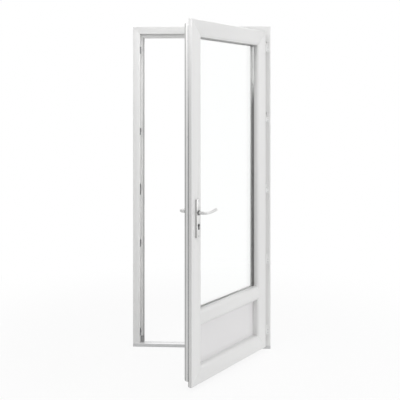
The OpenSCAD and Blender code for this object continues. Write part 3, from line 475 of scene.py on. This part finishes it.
sash_low, sash_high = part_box("sash_lock_stile")
sash_corner = (SASH_HALF_WIDTH, sash_low.z, sash_high.z)


def from_sash_edge(x, z):
    half_w, foot, top = sash_corner
    return (half_w - abs(x)).least(top - z).least(z - foot)


def shaded_outer_faces(x, y, z):
    """Painted shade: the outermost faces are painted a shade darker."""
    return from_sash_edge(x, z).between(EDGE_SHADE_FROM, EDGE_SHADE_TO, 1.0, 0.0)


def outer_edge_shade(x, y, z):
    """Painted shade: the grey band that runs round the outer edge of the sash."""
    outer = y.between(OUTER_SHADE_FRONT, OUTER_SHADE_FRONT + PAINTED_BLEND)
    return from_sash_edge(x, z).under(OUTER_SHADE_WIDTH, PAINTED_BLEND) * outer


def seal_highlight(x, y, z):
    """Painted highlight: the lock-side run is painted pale towards the top, where most light falls on it.
    """
    return z.between(*SEAL_HIGHLIGHT_HEIGHTS) * x.under(LOCK_SIDE, LOCK_SIDE_BLEND)


sash_shades = [(WHITE_MARK_AND_SHADE, shaded_outer_faces), (SHADE_GREY, outer_edge_shade)]
stile_white = white_bar("White plastic stile", "Z", SWING, sash_corner, sash_shades)
rail_white = white_bar("White plastic rail", "X", SWING, sash_corner, sash_shades)
dress(["sash_lock_stile", "sash_hinge_stile"], stile_white, SASH_EDGE)
dress(["sash_top_rail", "sash_bottom_rail"], rail_white, SASH_EDGE)
dress("sash_mid_rail", white_bar("White plastic cross rail", "X", SWING), SASH_EDGE)
dress("sash_steels", zinc)
sash_seal = rubber("Black sash seal", SEAL_BLACK, SEAL_BLOOM, SWING, (SEAL_HIGHLIGHT, seal_highlight))
dress("sash_seal", sash_seal)
dress("bottom_seal", sash_seal, SWEEP_EDGE)


# The glazing: two clear panes with a dark spacer bar sealed between them, set on black blocks.
# White beads on the room side clip into the sash and press the glass between thin grey seals;
# the upper beads carry a painted grey shadow line along their lower edge.
# The panes throw no shadow, so that the lamps shine through.
GLASS_TINT = (0.996, 1.0, 0.998, 1.0)
GLASS_IOR = 1.45
GLASS_WAVE = 0.00005
SPACER_GREY = (0.17, 0.165, 0.16, 1.0)
SPACER_DULL = (0.14, 0.135, 0.13, 1.0)
# Painted light and painted highlight on the spacer's lower run and the top of its uprights.
SPACER_PAINTED_LIGHT = (0.90, 0.90, 0.895, 1.0)
SPACER_SHINE = 0.9
SPACER_FOOT = 0.428
SPACER_FOOT_BLEND = 0.001
SPACER_HIGHLIGHT_HEIGHTS = (1.58, 1.76)
GLAZING_GREY = (0.36, 0.36, 0.36, 1.0)
GLAZING_BLOOM = (0.42, 0.42, 0.42, 1.0)
# Painted light on the seals' foot run and outside near the top.
GLAZING_PAINTED_LIGHT = (0.88, 0.88, 0.875, 1.0)
SEAL_FOOT = 0.4355
GLAZING_HIGHLIGHT_HEIGHTS = (1.50, 1.80)
OUTER_SEAL_DEPTHS = (-0.012, -0.01)
# Painted shade: a shadow line along the lower edge of the upper beads.
BEAD_SHADE_GREY = (0.42, 0.42, 0.415, 1.0)
BEAD_SHADE_HEIGHT = 0.003
BEAD_SHADE_BLEND = 0.0004
BEAD_EDGE = 0.0005

glass, tree = new_material("Clear glass")
here = shut_place(tree, SWING)
film = noise(tree, here, scale=6.0, detail=4.0)
wave = noise(tree, here, scale=12.0, detail=1.0)
surface(tree, {
    "Base Color": GLASS_TINT,
    "Roughness": film * 0.012,
    "IOR": GLASS_IOR,
    "Transmission Weight": 1.0,
    "Normal": bumped(tree, wave, GLASS_WAVE),
})
for pane in ("inner_pane", "outer_pane"):
    dress(pane, glass)
    nodes[pane].visible_shadow = False


def spacer_painted_light(x, y, z):
    """Painted light: the lower run and the top of the uprights are painted pale where light falls on them.
    """
    return z.under(SPACER_FOOT, SPACER_FOOT_BLEND).most(z.between(*SPACER_HIGHLIGHT_HEIGHTS))


def seal_painted_light(x, y, z):
    """Painted light: pale from the foot of the glass down, round the panel too, and outside near the top.
    """
    upper = z.between(*GLAZING_HIGHLIGHT_HEIGHTS) * y.between(*OUTER_SEAL_DEPTHS)
    return z.under(SEAL_FOOT, PAINTED_BLEND).most(upper)


def bead_shadow_line(foot):
    """Painted shade: a grey shadow line along the lower edge of a bead, as a colour and its share."""
    def shade_share(x, y, z):
        return z.under(foot + BEAD_SHADE_HEIGHT, BEAD_SHADE_BLEND)
    return BEAD_SHADE_GREY, shade_share


spacer = rubber("Spacer", SPACER_GREY, SPACER_DULL, SWING, (SPACER_PAINTED_LIGHT, spacer_painted_light), SPACER_SHINE)
dress("glazing_spacer", spacer)
glazing_seal = rubber("Glazing seal", GLAZING_GREY, GLAZING_BLOOM, SWING, (GLAZING_PAINTED_LIGHT, seal_painted_light))
dress("glazing_seals", glazing_seal)
dress("setting_blocks", sash_seal)
bead_upright = white_bar("White bead upright", "Z", SWING)
bead_level = white_bar("White bead level", "X", SWING)
for held in ("glass", "panel"):
    dress([f"{held}_bead_lock_side", f"{held}_bead_hinge_side"], bead_upright, BEAD_EDGE)
    dress(f"{held}_bead_bottom", bead_level, BEAD_EDGE)
    upper_shade = bead_shadow_line(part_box(f"{held}_bead_top")[0].z)
    bead_upper = white_bar(f"White bead over {held}", "X", SWING, painted_shades=[upper_shade])
    dress(f"{held}_bead_top", bead_upper, BEAD_EDGE)


# The lower panel: a foam-cored board with a smooth white plastic skin, a shade cooler than the bars.
# The skin is glued on and follows the foam in very shallow ripples, and beads hold the board in the sash.
PANEL_WHITE = (0.795, 0.787, 0.791, 1.0)
PANEL_SHADE = (0.76, 0.75, 0.756, 1.0)
PANEL_ROUGHNESS = 0.3
RIPPLE_DEPTH = 0.0004

panel_skin, tree = new_material("White panel skin")
here = shut_place(tree, SWING)
ripple = noise(tree, here, scale=9.0, detail=2.0)
grain = noise(tree, here, scale=500.0, detail=2.0)
surface(tree, {
    "Base Color": tinted(tree, ripple * 0.3, PANEL_WHITE, PANEL_SHADE),
    "Roughness": PANEL_ROUGHNESS + grain * 0.08,
    "Normal": bumped(tree, ripple + grain * 0.05, RIPPLE_DEPTH),
})
dress("lower_panel", panel_skin)


# The lock: a long strip let into the edge of the lock stile, with latch, dead bolt and rollers behind it.
# It is zinc-plated steel, all but the cylinder, which is nickel-plated brass; its dark tone is painted
# shade for the hollow it sits in.
# The strip's darker zinc is partly its own plating and partly painted shade for the gap beside it.
STRIP_ZINC = (0.46, 0.465, 0.47, 1.0)
STRIP_DULL = (0.35, 0.355, 0.36, 1.0)
# Painted shade: the cylinder is coloured dark for the hollow it sits in.
NICKEL = (0.10, 0.10, 0.10, 1.0)
NICKEL_DULL = (0.07, 0.07, 0.07, 1.0)
NICKEL_ROUGHNESS = 0.3
LOCK_EDGE = 0.0003

sash_zinc = plated("Zinc lock strip", STRIP_ZINC, STRIP_DULL, SWING)
dress(["lock_faceplate", "locking_rods", "latch_bolt", "dead_bolt"], sash_zinc, LOCK_EDGE)
dress(["lock_case", "follower", "spindle", "handle_screws"], sash_zinc)
nickel = plated("Dark nickel", NICKEL, NICKEL_DULL, SWING, NICKEL_ROUGHNESS)
dress(["cylinder_body", "cylinder_plug"], nickel, LOCK_EDGE)


# The handles: cast levers on long narrow backplates, the same on both sides, in silver-anodised aluminium.
# A plastic ring guides each lever's neck in its plate, and two screws draw the plates together.
# The ring's dark grey is partly its own colour and partly painted shade under the neck.
HANDLE_X = -0.357
SILVER = (0.70, 0.70, 0.695, 1.0)
SILVER_DULL = (0.65, 0.65, 0.645, 1.0)
SILVER_METALLIC = 0.3
SILVER_ROUGHNESS = 0.36
SATIN_DEPTH = 0.00002
# Painted shade on the backplates' sides.
RIM_SHADE_GREY = (0.44, 0.44, 0.435, 1.0)
RIM_FROM = 0.0172
RIM_BLEND = 0.0006
PLATE_EDGE = 0.0008
# Partly the ring's own dark plastic, partly painted shade under the neck.
RING_SHADE_DARK = (0.12, 0.12, 0.12, 1.0)
RING_BLOOM = (0.15, 0.15, 0.15, 1.0)
RING_EDGE = 0.0005


def satin_silver(name, rim=None):
    """Satin silver. Beyond rim from the handle's axis, the backplate's side is painted grey as painted
    shade.
    """
    material, tree = new_material(name)
    here = shut_place(tree, SWING)
    satin = noise(tree, here, scale=1600.0, detail=2.0)
    touch = noise(tree, here, scale=22.0, detail=4.0).between(0.4, 0.75)
    tone = tinted(tree, touch, SILVER, SILVER_DULL)
    if rim:
        across = abs(split(tree, here)[0] - HANDLE_X)
        tone = tinted(tree, across.between(rim - RIM_BLEND, rim), tone, RIM_SHADE_GREY)
    surface(tree, {
        "Base Color": tone,
        "Metallic": SILVER_METALLIC,
        "Roughness": SILVER_ROUGHNESS + satin * 0.08 - touch * 0.05,
        "Normal": bumped(tree, satin, SATIN_DEPTH),
    })
    return material


plate_silver = satin_silver("Silver backplate", RIM_FROM)
dress(["inside_backplate", "outside_backplate"], plate_silver, PLATE_EDGE, steps=3)
dress(["inside_lever", "outside_lever"], satin_silver("Silver lever"))
dress("neck_rings", rubber("Dark neck ring", RING_SHADE_DARK, RING_BLOOM, SWING), RING_EDGE)
